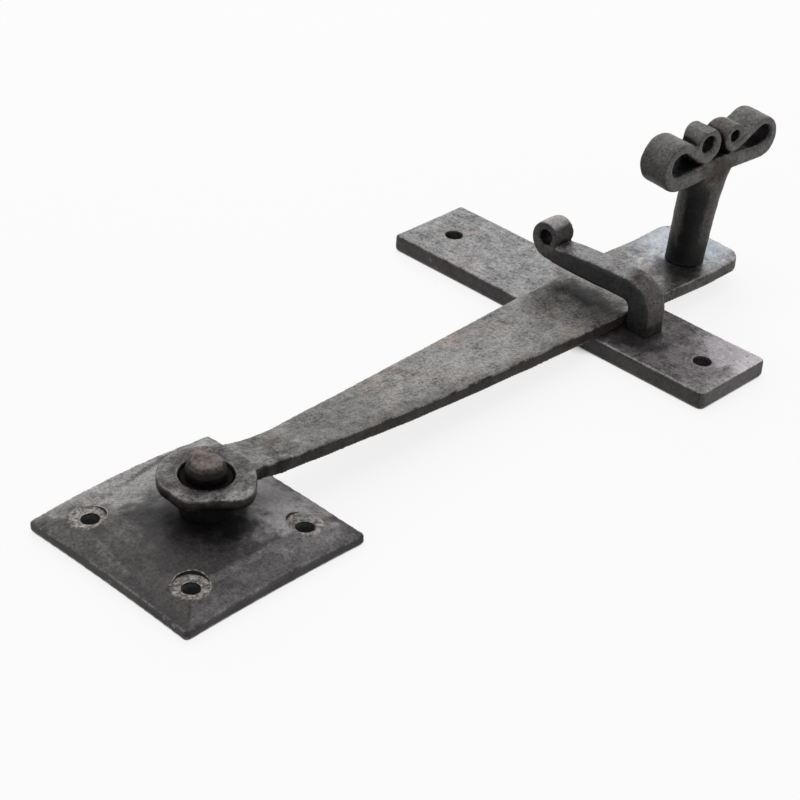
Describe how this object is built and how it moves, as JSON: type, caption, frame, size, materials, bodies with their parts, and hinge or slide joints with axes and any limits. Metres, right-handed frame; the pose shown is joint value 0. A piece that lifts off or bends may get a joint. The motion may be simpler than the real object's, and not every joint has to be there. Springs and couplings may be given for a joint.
{
  "type": "gate latch",
  "caption": "Forged swing latch: a broadening bar with a ram's-horn handle turns on a plate-mounted stud and drops into a scrolled keeper hook.",
  "frame": {"origin": "middle of the pivot plate's screw pattern, on the plane of both plates' backs", "axes": "+X runs toward the keeper and the handle, +Z points out of the gate's face, +Y is the way the bar lifts"},
  "size_m": [0.3398, 0.1604, 0.0717],
  "materials": {
    "pivot_plate": "forged, blackened and waxed",
    "pivot_stud": "hammered and worn bright on top",
    "pivot_collar": "forged and blackened",
    "pivot_washer": "forged and blackened",
    "latch_bar": "forged, wire-brushed and waxed",
    "ram_horn_handle": "forged, blackened and waxed",
    "keeper_plate": "forged, wire-brushed and waxed",
    "keeper_hook": "forged, blackened and waxed"
  },
  "bodies": {
    "fixed": {"pivot_plate": "pivot_plate", "pivot_stud": "pivot_stud", "pivot_collar": "pivot_collar", "pivot_washer": "pivot_washer", "keeper_plate": "keeper_plate", "keeper_hook": "keeper_hook"},
    "bar": {"latch_bar": "latch_bar", "ram_horn_handle": "ram_horn_handle"}
  },
  "joints": [
    {"name": "bar_swing", "type": "hinge", "parent": "fixed", "child": "bar", "pos_m": [0.0035, 0, 0.0215], "axis": [0, 0, 1], "range_deg": [0, 90]}
  ]
}
